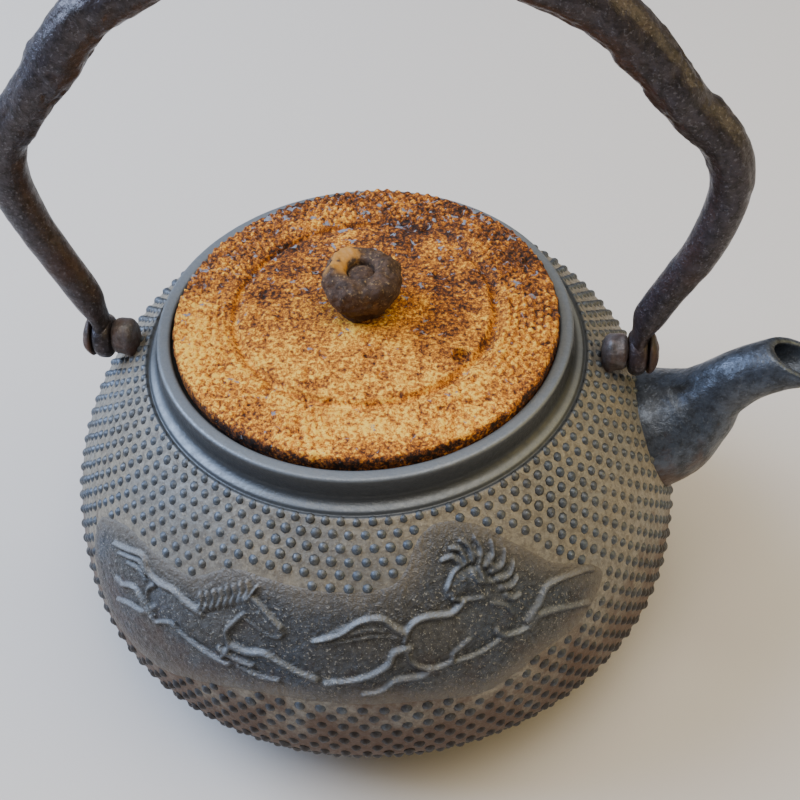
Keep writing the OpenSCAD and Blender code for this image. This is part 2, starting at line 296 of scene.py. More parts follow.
# the same casting rubbed bare on the dots: darker, smoother and bluer
dotIron = ironFinish("sandCastIronDots", {
    "iron": "555D66", "second": "595A5A", "dark": "282420", "light": "8F979F", "rust": "2B211B",
    "zoneSize": 20, "grainSize": 1.2, "speckSize": 0.6, "grainShare": 0.5, "speckShare": 0.5,
    "rustSize": 9, "rustTop": 66, "rustBottom": 15, "rustShare": 0.35, "rustMost": 0.85,
    "roughness": 0.46, "metallic": 0.45, "bumpDepth": 0.15})
# the spout is the darkest part of the casting, smooth on top with brown rust below
spoutIron = ironFinish("darkCastIronSpout", {
    "iron": "4D5665", "second": "545962", "dark": "26282C", "light": "757C86", "rust": "553A29",
    "zoneSize": 18, "grainSize": 3.0, "speckSize": 0.9, "grainShare": 0.7, "speckShare": 0.35,
    "rustSize": 7, "rustTop": 85, "rustBottom": 42, "rustShare": 0.12, "rustMost": 0.7,
    "roughness": 0.4, "metallic": 0.55, "bumpDepth": 0.5})
# the lugs are browner than the spout, where the handle's eyes rub rust into them
lugIron = ironFinish("brownedCastIronLugs", {
    "iron": "6A6461", "second": "5C5B5F", "dark": "332D29", "light": "8F8986", "rust": "63463A",
    "zoneSize": 9, "grainSize": 2.2, "speckSize": 0.8, "grainShare": 0.7, "speckShare": 0.4,
    "rustSize": 6, "rustTop": 110, "rustBottom": 60, "rustShare": 0.35, "rustMost": 0.7,
    "roughness": 0.5, "metallic": 0.35, "bumpDepth": 0.5})
# bark-textured cast iron, a dark purple-grey with brown rust in patches
barkIron = ironFinish("barkCastIronHandle", {
    "iron": "403B41", "second": "474042", "dark": "201C1A", "light": "7A777E", "rust": "4C3226",
    "zoneSize": 20, "grainSize": 2.0, "speckSize": 0.8, "grainShare": 0.7, "speckShare": 0.5,
    "rustSize": 12, "rustTop": 260, "rustBottom": -300, "rustShare": 0.3, "rustMost": 0.6,
    "roughness": 0.38, "metallic": 0.5, "bumpDepth": 0.6})
# hand-forged pins, dark brown from rust that hands have rubbed smooth
pinIron = ironFinish("forgedIronPins", {
    "iron": "453C38", "second": "3C3634", "dark": "261F1C", "light": "6A6462", "rust": "5E3C2B",
    "zoneSize": 8, "grainSize": 1.8, "speckSize": 0.6, "grainShare": 0.6, "speckShare": 0.4,
    "rustSize": 5, "rustTop": 100, "rustBottom": 80, "rustShare": 0.45, "rustMost": 0.8,
    "roughness": 0.48, "metallic": 0.4, "bumpDepth": 0.4})
# the knob is cast iron under a dark brown rust crust, with one ochre patch on top
knobIron = ironFinish("rustedCastIronKnob", {
    "iron": "4C392B", "second": "634730", "dark": "1E1510", "light": "A98A5E", "rust": "3C2519",
    "smooth": "CE8E33",
    "zoneSize": 6, "grainSize": 1.8, "speckSize": 0.8, "grainShare": 0.8, "speckShare": 0.7,
    "rustSize": 5, "rustTop": 125, "rustBottom": 100, "rustShare": 0.4, "rustMost": 0.8,
    "roughness": 0.78, "metallic": 0.0, "bumpDepth": 0.8})


# layered rust: yellow ochre powder over orange, red-brown scale in patches, and nearly black pits with
# specks of bare grey iron; the mask "relief" is 0 in a pit and 1 on a high place, and low on the rim's side,
# where it is painted shade; towards the back the colour is darker and more iron is bare
def rustFinish(name, finish):
    material = bpy.data.materials.new(name)
    material.use_nodes = True
    tree = material.node_tree
    tree.nodes.clear()
    place = addNode(tree, "TexCoord").outputs["Object"]
    relief = addNode(tree, "Attribute", attribute_name="relief").outputs["Fac"]
    zones = addNode(tree, "TexNoise", {"Vector": place, "Scale": perCell(finish["zoneSize"]),
                                       "Detail": 2.0}).outputs[0]
    patches = addNode(tree, "TexNoise", {"Vector": place, "Scale": perCell(finish["patchSize"]),
                                         "Detail": 6.0, "Roughness": 0.72}).outputs[0]
    grain = addNode(tree, "TexNoise", {"Vector": place, "Scale": perCell(finish["grainSize"]), "Detail": 4.0,
                                       "Roughness": 0.75}).outputs[0]
    level = addNode(tree, "Math", {0: zones, 1: 1.1}, operation="MULTIPLY").outputs[0]
    level = addNode(tree, "Math", {0: patches, 1: 1.5, 2: level}, operation="MULTIPLY_ADD").outputs[0]
    level = addNode(tree, "Math", {0: relief, 1: 0.5, 2: level}, operation="MULTIPLY_ADD").outputs[0]
    level = addNode(tree, "Math", {0: grain, 1: 3.0, 2: level}, operation="MULTIPLY_ADD").outputs[0]
    depth = addNode(tree, "SeparateXYZ", {"Vector": place}).outputs["Y"]
    behind = addNode(tree, "MapRange", {"Value": depth, "From Min": -20 * mm, "From Max": 45 * mm,
                                        "To Min": 0.05, "To Max": -0.42}).outputs[0]
    level = addNode(tree, "Math", {0: level, 1: behind}, operation="ADD").outputs[0]
    level = addNode(tree, "MapRange", {"Value": level, "From Min": finish["darkEnd"],
                                       "From Max": finish["lightEnd"]}).outputs[0]
    colour = addNode(tree, "ValToRGB", {"Fac": level}, stops=finish["ramp"]).outputs[0]
    bare = addNode(tree, "TexNoise", {"Vector": place, "Scale": perCell(finish["bareSize"]), "Detail": 3.0,
                                      "Roughness": 0.6, "Distortion": 0.6}).outputs[0]
    bare = addNode(tree, "Math", {0: behind, 1: -0.16, 2: bare}, operation="MULTIPLY_ADD").outputs[0]
    bare = addNode(tree, "MapRange", {"Value": bare, "From Min": 0.66, "From Max": 0.70}).outputs[0]
    colour = addNode(tree, "Mix", {0: bare, 6: colour, 7: toLinear(finish["bareIron"])},
                     data_type="RGBA").outputs[2]
    rough = addNode(tree, "MapRange", {"Value": grain, "From Min": 0.3, "From Max": 0.7, "To Min": 0.68,
                                       "To Max": 0.95}).outputs[0]
    bump = addNode(tree, "Bump", {"Height": patches, "Strength": 0.8, "Distance": 1.0 * mm}).outputs[0]
    bump = addNode(tree, "Bump", {"Height": grain, "Strength": 0.9, "Distance": 0.45 * mm,
                                  "Normal": bump}).outputs[0]
    shader = addNode(tree, "BsdfPrincipled", {"Base Color": colour, "Roughness": rough, "Normal": bump,
                                              "Metallic": 0.0, "Specular IOR Level": 0.3}).outputs[0]
    addNode(tree, "OutputMaterial", {"Surface": shader})
    return material


lidRust = rustFinish("layeredRustOnCastIron", {
    "zoneSize": 30, "patchSize": 6, "grainSize": 1.0, "bareSize": 2.6, "darkEnd": 2.36, "lightEnd": 3.52,
    "bareIron": "82868E",
    "ramp": [(0.0, "20140E"), (0.2, "4A2813"), (0.4, "7F4519"), (0.56, "B26A22"), (0.74, "DE902D"),
             (1.0, "FFCF52")]})
print("materials ready")


# bowl

bowl = {"beltRadius": 90, "beltHeight": 30, "shoulderRise": 84, "shoulderPower": 2.12, "bellyPower": 1.6,
        "baseRadius": 52, "neckRadius": 60.2, "wall": 3.2, "floor": 4.5, "groundDepth": 0.9, "columns": 420,
        "boreFrom": (74, 96), "boreHeight": 62, "boreRadius": 10, "groundStep": 1.22, "neckFrom": 71,
        "neckLift": 0.45, "uneven": 0.16, "grain": 0.07, "collarUneven": 0.3}


# the outside as two quarters of a superellipse that meet at the belt: radius = belt radius times
# cos(t)^(2/p), height from the belt = the axis times sin(t)^(2/p), with rows (length, r, z), where
# length is measured along the line from the belt, upwards
def bowlLine(inset, topRadius):
    belt, p, q = bowl["beltRadius"] - inset, bowl["shoulderPower"], bowl["bellyPower"]
    depth = bowl["beltHeight"] / (1 - (bowl["baseRadius"] / bowl["beltRadius"]) ** q) ** (1 / q) - inset
    t = np.linspace(0, math.pi / 2, 2500)
    up = np.stack([belt * np.cos(t) ** (2 / p),
                   bowl["beltHeight"] + (bowl["shoulderRise"] - inset) * np.sin(t) ** (2 / p)], axis=1)
    down = np.stack([belt * np.cos(t) ** (2 / q), bowl["beltHeight"] - depth * np.sin(t) ** (2 / q)], axis=1)
    up = up[up[:, 0] >= topRadius]
    down = down[1:][down[1:, 1] >= (bowl["floor"] if inset else 0)][::-1]
    line = np.concatenate([down, up])
    run = np.concatenate([[0], np.cumsum(np.linalg.norm(np.diff(line, axis=0), axis=1))])
    return np.column_stack([run - run[len(down)], line])


outerLine = bowlLine(0, bowl["neckRadius"])
lineSlope = np.gradient(outerLine[:, 1:], outerLine[:, 0], axis=0)
outerNormal = np.stack([lineSlope[:, 1], -lineSlope[:, 0]], axis=1)
outerNormal /= np.linalg.norm(outerNormal, axis=1, keepdims=True)


# the point of the bowl's outside at an angle from the front and a length up the line, moved outwards
def onBowl(angle, length, lift):
    r, z = (np.interp(length, outerLine[:, 0], outerLine[:, i]) for i in (1, 2))
    nr, nz = (np.interp(length, outerLine[:, 0], outerNormal[:, i]) for i in (0, 1))
    r, z = r + lift * nr, z + lift * nz
    return np.stack([r * np.sin(angle), -r * np.cos(angle), z], axis=-1)


# how far the ground lies under the dots' tops: the whole depth on the wall, and half of it at the neck
def groundLift(length):
    return -bowl["groundDepth"] + bowl["neckLift"] * ease(length, bowl["neckFrom"], outerLine[-1, 0])


groundLength = np.arange(outerLine[0, 0] + 0.8, outerLine[-1, 0], bowl["groundStep"])
ground = onBowl(0, groundLength, groundLift(groundLength))
ground = np.stack([-ground[:, 1], ground[:, 2]], axis=1)
collar = evenSteps(cutCorners([
    ground[-1], (59.8, 93.9), (59.5, 93.3), (59.1, 93.3), (58.9, 94.1), (58.3, 94.5), (56.7, 95.3),
    (56.0, 96.0), (55.8, 97.0), (55.8, 101.4), (55.7, 101.9), (55.4, 102.3), (54.9, 102.4), (52.8, 102.4),
    (52.2, 102.1), (52, 101.6), (52, 99.4),
    (46.3, 99.4), (46, 99.1), (46, 97), (54, 92.2)], 1), 0.5)
inside = bowlLine(bowl["wall"], 60)[::-1, 1:]
inside = np.concatenate([inside[inside[:, 1] < 91], [(40, bowl["floor"]), (2, bowl["floor"])]])
inside = evenSteps(inside, 4.2)
under = np.array([(2, 0.25), (30, 0.25), (49, 0.1), (50.4, 0.05)])
bowlProfile = np.concatenate([under, ground, collar[1:], inside])
bowlGrid = turned(bowlProfile, bowl["columns"])
uneven = bowl["uneven"] * layeredNoise(bowlGrid, 16, 1) + bowl["grain"] * latticeNoise(bowlGrid, 2.4, 5)
onCollar = np.arange(len(bowlProfile)) >= len(under) + len(ground)
uneven *= np.where(onCollar, bowl["collarUneven"], 1)[:, None]
bowlGrid[len(under):] += (gridNormals(bowlGrid) * uneven[..., None])[len(under):]  # the base stays flat
points, faces = closedShell(bowlGrid, "poles")
# painted shade: the collar's upright wall and the groove round its foot are darkened towards the shade colour
collarShade = onCollar * ease(bowlProfile[:, 1], 94.7, 95.3) * (1 - ease(bowlProfile[:, 1], 101.8, 102.2))
collarShade = np.maximum(collarShade, onCollar * (bowlProfile[:, 0] > 58.8) * 0.8)  # the groove round it


# a value for each ring, repeated round it, with one more for each pole
def perRing(values, columns):
    return np.concatenate([np.repeat(values, columns), [0, 0]])


bowlPiece = makePiece("bowlSkin", points, faces, "kettle", "bowl_iron", groundIron,
                      ("body_shell", "mouth_collar"), smoothed=perRing(onCollar * 1.0, bowl["columns"]),
                      shaded=perRing(collarShade, bowl["columns"]))


# takes a round hole along X out of a piece: a closed straight tube between two places in x is subtracted
def boreAlongX(piece, places, height, radius, sides=64):
    angle = np.arange(sides) / sides * fullTurn
    rings = np.stack([np.stack([0 * angle + x, radius * np.cos(angle), height + radius * np.sin(angle)],
                               axis=1) for x in places])
    points, faces = closedShell(rings, "poles")
    if turnsInside(points - points.mean(axis=0), faces):
        faces = [f[::-1] for f in faces]
    cutter = newObject("bore", points, faces)
    cut = piece.modifiers.new("bore", "BOOLEAN")
    cut.object = cutter
    uncut = piece.data
    piece.data = bpy.data.meshes.new_from_object(piece.evaluated_get(bpy.context.evaluated_depsgraph_get()))
    piece.modifiers.clear()
    bpy.data.objects.remove(cutter)
    bpy.data.meshes.remove(uncut)
    piece.data.name = piece.name
    print(piece.name, len(piece.data.polygons), "faces after its bore")


boreAlongX(bowlPiece, bowl["boreFrom"], bowl["boreHeight"], bowl["boreRadius"])


# relief panel outline, in mm round the belt and mm up the wall, anticlockwise from the lower left

panelEdge = cutCorners([(-80, 5), (-59, 6), (-40, 15), (-20, 21.5), (9, 21), (22, 21), (37, 17.5), (46, 20),
                        (56, 24), (67, 24), (77, 28), (84, 35), (76, 43), (67, 48), (62, 54), (56, 60),
                        (51, 65), (42, 70), (31, 71), (24, 67), (20, 60.5), (15, 56.5), (-2, 56), (-25, 57),
                        (-36, 56.5), (-41, 53), (-48, 48.6), (-62, 48), (-75, 48), (-84, 44.5), (-93, 39),
                        (-95, 30), (-90, 14), (-80, 5)], 2)


# distance from points to a closed outline, positive inside: the shortest distance to its sides, with
# the sign from counting the sides that a ray to the right crosses
def insideBy(points, outline):
    a, b = outline[:-1], outline[1:]
    nearest = np.full(points.shape[:-1], 1e9)
    crossings = np.zeros(points.shape[:-1], int)
    for start, end in zip(a, b):
        side = end - start
        t = np.clip(((points - start) @ side) / max(side @ side, 1e-9), 0, 1)
        nearest = np.minimum(nearest, np.linalg.norm(points - start - t[..., None] * side, axis=-1))
        spans = (start[1] > points[..., 1]) != (end[1] > points[..., 1])
        reach = start[0] + (points[..., 1] - start[1]) * side[0] / (side[1] if side[1] else 1e-9)
        crossings += spans & (points[..., 0] < reach)
    return np.where(crossings % 2, nearest, -nearest)


# dots

dots = {"perRow": 101, "topLength": 72.4, "endLength": -46, "rowPitch": 3.3, "radius": 1.02,
        "beltRadius": 1.18, "sides": 8, "seed": 4, "offPanel": 0.4, "spoutCentre": (0, 62), "spoutClear": 17}

rowLengths = np.arange(dots["topLength"], dots["endLength"], -dots["rowPitch"])
dice = np.random.default_rng(dots["seed"])
rowIndex, dotIndex = (g.ravel() for g in np.meshgrid(np.arange(len(rowLengths)), np.arange(dots["perRow"]),
                                                     indexing="ij"))
dotAngle = dotIndex + 0.5 * (rowIndex % 2) + dice.normal(0, 0.015, rowIndex.size)
dotAngle = dotAngle * fullTurn / dots["perRow"]
dotAngle = (dotAngle + math.pi) % fullTurn - math.pi
dotLength = rowLengths[rowIndex] + dice.normal(0, 0.06, rowIndex.size)
inPanel = insideBy(np.stack([dotAngle * bowl["beltRadius"], dotLength], axis=1), panelEdge)
offPanel = inPanel < dots["offPanel"]
spoutAway = np.hypot(*(onBowl(dotAngle, dotLength, 0)[:, 1:] - dots["spoutCentre"]).T)
clear = offPanel & ~((spoutAway < dots["spoutClear"]) & (dotAngle > 0))
dotAngle, dotLength = dotAngle[clear], dotLength[clear]


# one dome per dot: rings at shares of the dot's radius, lifted along the wall's normal by a rounded cone,
# closed below by a flat face under the ground
def domes(angle, length, radius, height):
    ringShare = np.array([1.45, 1.12, 0.74, 0.34])
    ringLift = np.array([-0.18, 0.14, 0.68, 0.95])
    centre = onBowl(angle, length, groundLift(length))
    normal = onBowl(angle, length, 1) - onBowl(angle, length, 0)
    east = np.stack([np.cos(angle), np.sin(angle), 0 * angle], axis=-1)
    north = np.cross(normal, east)
    turn = np.arange(dots["sides"]) / dots["sides"] * fullTurn
    ring = east[:, None] * np.cos(turn)[:, None] + north[:, None] * np.sin(turn)[:, None]
    rings = (centre[:, None, None] + ring[:, None] * (radius[:, None] * ringShare)[..., None, None]
             + normal[:, None, None] * (height[:, None] * ringLift)[..., None, None])
    top = centre + normal * height[:, None]
    count, sides = len(angle), dots["sides"]
    points = np.concatenate([rings.reshape(count, -1, 3), top[:, None]], axis=1)
    side = np.arange(sides)
    ahead = (side + 1) % sides
    walls = np.concatenate([np.stack([side, ahead, ahead + sides, side + sides], axis=1) + r * sides
                            for r in range(len(ringShare) - 1)])
    tip = len(ringShare) * sides
    caps = np.stack([side + tip - sides, ahead + tip - sides, np.full(sides, tip)], axis=1)
    shift = np.arange(count)[:, None, None] * (tip + 1)
    faces = (walls + shift).reshape(-1, 4).tolist() + (caps + shift).reshape(-1, 3).tolist()
    faces += (side[::-1] + shift[:, 0]).tolist()
    return points.reshape(-1, 3), faces


dotRadius = dots["beltRadius"] + (dots["radius"] - dots["beltRadius"]) * ease(dotLength, 0, 55)
dotRadius *= dice.normal(1, 0.04, dotRadius.size) * (1 - 0.15 * ease(dotLength, 68, 72))
dotHeight = -groundLift(dotLength) * np.clip(dice.normal(0.86, 0.05, dotRadius.size), 0.6, 1)


# the chosen dots as one piece; round the foot of each, its two lowest rings are darkened as painted shade
def makeDots(name, chosen):
    points, faces = domes(dotAngle[chosen], dotLength[chosen], dotRadius[chosen], dotHeight[chosen])
    piece = newObject(name, points, faces)
    mesh = piece.data
    mesh.polygons.foreach_set("use_smooth", np.ones(len(mesh.polygons), bool))
    mesh.materials.append(dotIron)
    soiled = mesh.attributes.new("soiled", "FLOAT", "POINT")
    soiled.data.foreach_set("value", np.tile(np.append(np.repeat([0.6, 0.3, 0, 0], dots["sides"]), 0),
                                             int(chosen.sum())))
    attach(piece, "kettle")
    print(name, int(chosen.sum()), "dots")


makeDots("shoulderDots", dotLength >= 18)
makeDots("bellyDots", dotLength < 18)


# relief of two galloping horses

panel = {"pitch": 0.45, "ground": -0.58, "edge": 1.8, "sunk": -1.6, "back": -2.6, "grain": 0.17}
# each stroke: half width at its start and end, height, and its points in mm round the belt and up the wall
bodyStrokes = [  # the swelling of the bodies, under the contour lines
    (5.2, 5.0, 0.55, [(-55, 34.5), (-46, 35.5), (-37, 36)]),
    (4.4, 2.6, 0.5, [(-36, 38), (-31, 44), (-26, 48)]),
    (3.2, 2.1, 0.95, [(-27, 47.5), (-22, 45), (-17, 42.6)]),
    (6.0, 5.6, 0.55, [(24, 40), (34, 40), (45, 41)]),
    (5.4, 3.6, 0.5, [(46, 42), (43, 48), (40, 52)]), (3.5, 2.5, 0.95, [(41, 53), (37, 54), (33.5, 52)]),
    (1.2, 3.0, 0.5, [(-4, 42.4), (3, 45), (9, 46.5)]), (3.0, 1.4, 0.5, [(9, 46.5), (13, 46), (18, 43.5)])]
lineStrokes = [  # left horse: tail, back, rump, belly, hind legs, neck, head, fore legs
    (0.8, 1.3, 1.0, [(-80, 38), (-72, 41.6), (-66, 43.8), (-62, 41), (-57, 40.6), (-52, 41.4),
     (-46, 40.4), (-41, 40)]),
    (0.5, 1.0, 0.8, [(-77, 37), (-72, 39.4), (-67, 41.4), (-63, 40)]),
    (0.6, 0.9, 0.6, [(-72, 37.4), (-67, 39), (-63, 38)]),
    (0.9, 0.9, 0.8, [(-59, 39), (-61, 36), (-60, 32.5), (-57, 30)]),
    (0.8, 1.0, 0.9, [(-57, 27.6), (-51, 31.6), (-47, 30.6), (-42, 29.4), (-36, 28.4), (-31, 28)]),
    (0.8, 1.4, 0.95, [(-72.5, 29), (-67, 32.6), (-63, 31.6), (-60, 29.5), (-56, 28.4)]),
    (1.2, 0.8, 0.8, [(-57, 33), (-62, 27.5), (-68, 25.5), (-74, 22)]),
    (1.3, 1.1, 0.8, [(-75.5, 28.6), (-72.5, 29.2)]),
    (1.0, 0.9, 0.95, [(-27.6, 45), (-30, 42), (-32.4, 38), (-31, 34), (-33, 30)]),
    (0.8, 0.7, 0.75, [(-28, 44.4), (-24, 42.6), (-19, 40.9), (-16.4, 41.4)]),
    (0.8, 0.6, 1.0, [(-27, 49.6), (-25, 53)]),
    (0.8, 0.9, 0.8, [(-26, 50), (-21.5, 47.4), (-16.6, 44)]),
    (0.5, 0.5, 0.5, [(-23.4, 46.6), (-22.8, 46.4)]),
    (1.5, 0.8, 1.0, [(-31, 34.5), (-26, 34), (-21, 35.2), (-17, 34), (-12, 32), (-8.5, 31)]),
    (1.2, 1.3, 0.9, [(-9, 31), (-6.4, 30.2)]), (1.4, 0.8, 0.9, [(-34, 32), (-29, 30.8), (-24, 30.4)]),
    (0.9, 0.7, 0.85, [(-28, 29), (-22, 27.6), (-16.5, 28)]),
    # right horse: tail, back, thigh, belly, hind legs, chest, fore legs, head
    (0.7, 1.1, 1.05, [(-7, 41.6), (0, 44), (6, 47.6), (12, 48.2), (15, 46), (18.6, 43.6)]),
    (0.5, 0.7, 0.55, [(-4, 41), (4, 42.6), (11, 43.6), (17, 42.4)]),
    (0.5, 0.6, 0.5, [(2, 44), (8, 45.4), (13, 44.8)]),
    (1.0, 1.1, 1.05, [(18, 41.6), (19.4, 44.6), (22, 46.6), (26, 47.1), (32, 46.6), (36, 48.8)]),
    (0.9, 0.9, 0.9, [(18, 40), (19, 36), (21.6, 33.4), (26, 32.4), (30, 33.6), (31, 36), (35.6, 38.6)]),
    (0.8, 0.9, 0.9, [(30, 33), (38, 33.6), (44, 35.4)]),
    (1.4, 0.8, 1.0, [(19, 39.4), (15, 38.6), (13.4, 35.4), (9, 32.6), (4.6, 31), (-1, 30)]),
    (1.2, 1.4, 0.9, [(-1, 30), (-3.6, 29.2)]),
    (1.3, 0.8, 0.95, [(24, 32.4), (21.6, 30.6), (15, 30.4), (11, 27.4), (6, 26.4)]),
    (1.0, 0.9, 1.0, [(43.6, 38.4), (45.4, 36), (50, 35), (54, 35.8), (56, 37.6)]),
    (1.4, 0.8, 1.0, [(54, 37.6), (57.6, 40), (61, 42.8), (64, 43), (69, 42), (75.6, 39.8)]),
    (1.1, 1.3, 0.9, [(75.6, 39.8), (78, 38.6)]),
    (1.3, 0.8, 0.95, [(53, 37), (58, 36.6), (64, 34.6), (70.6, 31.6)]),
    (1.1, 1.2, 0.9, [(70.6, 31.6), (73, 30.4)]), (0.8, 0.7, 0.8, [(33, 50.4), (37, 49), (42, 48.4)]),
    (0.8, 0.8, 0.9, [(32, 53.4), (35.4, 57), (40, 58.4)]), (0.5, 0.5, 0.6, [(37.4, 54.8), (38, 54.6)]),
    (0.9, 0.7, 0.8, [(44, 46), (47.6, 44), (49, 41)])]
# locks of both manes: where each is rooted and where its tip lies
leftLocks = [((-42 + 2.0 * i, 40.6 + 1.25 * i), (-42.6 + 2.0 * i, 45 + 1.2 * i)) for i in range(8)]
rightLocks = [((38, 58), (32.2, 60.4)), ((39.6, 58.6), (35.6, 62.8)), ((41.6, 58.4), (39.4, 64)),
              ((43.6, 57.4), (44.4, 63.4)), ((45, 56), (49.4, 61)), ((46.4, 54), (52.6, 57.6)),
              ((47.4, 51.4), (54, 53.6)), ((48, 49), (53.6, 49.6)), ((48.6, 46.6), (53, 45)),
              ((40.6, 55.6), (43.6, 52)), ((43, 56), (46, 51)), ((42.4, 60), (45.4, 59)),
              ((46.8, 57), (48.6, 54))]


# the height of a stroke over points: its full height on the middle line, falling to nothing at the half
# width as (1 - share^2)^power, with the half width running evenly from start to end
def strokeLift(points, stroke, power):
    startWidth, endWidth, height, places = stroke
    line = throughRows(places, 5) if len(places) > 2 else np.array(places, float)
    run = np.linspace(0, 1, len(line))
    lift = np.zeros(points.shape[:-1])
    for i in range(len(line) - 1):
        side = line[i + 1] - line[i]
        t = np.clip(((points - line[i]) @ side) / (side @ side), 0, 1)
        away = np.linalg.norm(points - line[i] - t[..., None] * side, axis=-1)
        width = startWidth + (endWidth - startWidth) * (run[i] + t * (run[i + 1] - run[i]))
        lift = np.maximum(lift, height * np.clip(1 - (away / width) ** 2, 0, 1) ** power)
    return lift


across = np.arange(-96, 86, panel["pitch"])
upWall = np.arange(3, 73, panel["pitch"])
flat = np.stack(np.meshgrid(across, upWall), axis=-1)
within = insideBy(flat, panelEdge)
swelling = np.max([strokeLift(flat, stroke, 0.6) for stroke in bodyStrokes], axis=0)
lines = np.max([strokeLift(flat, stroke, 1.2) for stroke in lineStrokes], axis=0)
locks = [(1.3, 0.6, 0.9, [root, (0.5 * (root[0] + tip[0]) + 0.22 * (tip[1] - root[1]),
                                 0.5 * (root[1] + tip[1]) - 0.22 * (tip[0] - root[0])), tip])
         for root, tip in leftLocks + rightLocks]
lines = np.maximum(lines, np.max([strokeLift(flat, lock, 1.2) for lock in locks], axis=0))
figure = np.maximum(swelling + 0.85 * lines, 1.25 * lines)
steepUp, steepRound = np.gradient(figure, panel["pitch"])
# sides that face up or left get painted light, and those that face down or right get painted shade
lit = 0.4 * steepRound - 0.9 * steepUp
sand = np.stack([flat[..., 0], flat[..., 1], 0 * flat[..., 0]], axis=-1)
grains = panel["grain"] * (latticeNoise(sand, 0.95, 131) + 0.6 * latticeNoise(sand, 2.1, 132))
lift = panel["ground"] + figure + grains * (1 - 0.6 * np.clip(lines, 0, 1))
lift = panel["sunk"] + (lift - panel["sunk"]) * ease(within, 0, panel["edge"])
front = onBowl(flat[..., 0] / bowl["beltRadius"], flat[..., 1], lift)
rear = onBowl(flat[..., 0] / bowl["beltRadius"], flat[..., 1], panel["back"] + 0 * lift)
keep = within > -0.3
cell = keep[:-1, :-1] & keep[1:, :-1] & keep[:-1, 1:] & keep[1:, 1:]
number = np.arange(flat[..., 0].size).reshape(flat.shape[:2])
count = number.size


# quads of the front, the same turned round on the back, and a wall along each side of a kept cell whose
# neighbour there is not kept
def slabFaces(cell):
    corner = [number[:-1, :-1], number[:-1, 1:], number[1:, 1:], number[1:, :-1]]
    face = np.stack([c[cell] for c in corner], axis=1)
    sides = [face, face[:, ::-1] + count]
    padded = np.pad(cell, 1)
    for first, (stepRow, stepColumn) in enumerate([(-1, 0), (0, 1), (1, 0), (0, -1)]):
        alone = cell & ~padded[1 + stepRow:padded.shape[0] - 1 + stepRow,
                               1 + stepColumn:padded.shape[1] - 1 + stepColumn]
        a, b = corner[first][alone], corner[(first + 1) % 4][alone]
        sides.append(np.stack([b, a, a + count, b + count], axis=1))
    return np.concatenate(sides)


quads = slabFaces(cell)
used, quads = np.unique(quads, return_inverse=True)
points = np.concatenate([front.reshape(-1, 3), rear.reshape(-1, 3)])[used]
# painted highlight on the sides that face up or left, with wear lightening the ridges' tops
litAndWorn = np.clip(0.5 * lit, 0, 0.6) + 0.25 * np.clip(lines - 0.4, 0, 0.5)
litAndWorn = np.concatenate([litAndWorn.ravel(), np.zeros(count)])[used]
# painted shade on the sides that face down or right
paintedLeeShade = np.concatenate([np.clip(-0.8 * lit, 0, 1).ravel(), np.zeros(count)])[used]
nearEdge = 1 - ease(within + 1.5 * latticeNoise(sand, 6, 133), 0, 9)
nearEdge = np.concatenate([nearEdge.ravel(), np.zeros(count)])[used]
makePiece("reliefPanel", points, quads.reshape(-1, 4).tolist(), "kettle", "bowl_iron", panelIron,
          smoothed=litAndWorn, shaded=nearEdge, soiled=paintedLeeShade)


# lid

lid = {"columns": 560, "step": 0.5, "dotRows": 7, "firstRow": 37.9, "rowPitch": 2.12, "dotsPerRow": 106,
       "dotRadius": 1.08, "dotHeight": 0.95, "vent": (26.4, -16.6), "ventRadius": 2.1,
       "slideX": 0.4, "slideY": 0.3, "lean": 0.8,
       "rimRadius": (50.7, 51.4), "rimTop": 104.6, "rimShade": 0.9,
       "crust": 0.22, "scab": 0.5, "pit": 1.5, "ventDepth": 2.6, "deepest": -3.0, "highest": 1.15}
lidTop = np.array([(0.3, 107.1), (9, 107.1), (20, 106.75), (32.8, 106.2), (33.3, 106.0), (34.0, 104.8),
                   (34.7, 104.4), (35.3, 104.6), (36.0, 105.6), (36.8, 105.78), (44, 105.2), (49.8, 104.8)])
lidRim = cutCorners([(49.8, 104.8), (50.8, 104.6), (51.4, 104.0), (51.5, 103.3), (51.5, 100),
                     (51.2, 99.5)], 1)
lidUnder = np.array([(51.2, 99.5), (45.6, 99.5), (45.5, 99.3), (45.5, 95.3), (45.3, 95.1), (43.3, 95.1),
                     (43.1, 95.3), (43.1, 101.3), (35, 102.38), (20, 103.35), (0.3, 103.7)])
lidProfile = np.concatenate([evenSteps(lidTop, lid["step"]), evenSteps(lidRim, 0.7)[1:],
                             evenSteps(lidUnder, 1.8)[1:]])
lidGrid = turned(lidProfile, lid["columns"])
lidRadius = np.hypot(lidGrid[..., 0], lidGrid[..., 1])
lidAngle = np.arctan2(lidGrid[..., 1], lidGrid[..., 0])
topSide = np.arange(len(lidProfile))[:, None] < len(evenSteps(lidTop, lid["step"])) + 6


# the nearest dot of the nearest ring: a rounded bump that falls to nothing at the dot's radius
def lidDots(radius, angle):
    row = np.clip(np.round((radius - lid["firstRow"]) / lid["rowPitch"]), 0, lid["dotRows"] - 1)
    share = fullTurn / lid["dotsPerRow"]
    off = (angle + 0.5 * share * (row % 2) + share / 2) % share - share / 2
    ringRadius = lid["firstRow"] + row * lid["rowPitch"]
    away = np.hypot(radius - ringRadius, off * ringRadius) / lid["dotRadius"]
    return np.clip(1 - away ** 2, 0, 1) ** 0.8


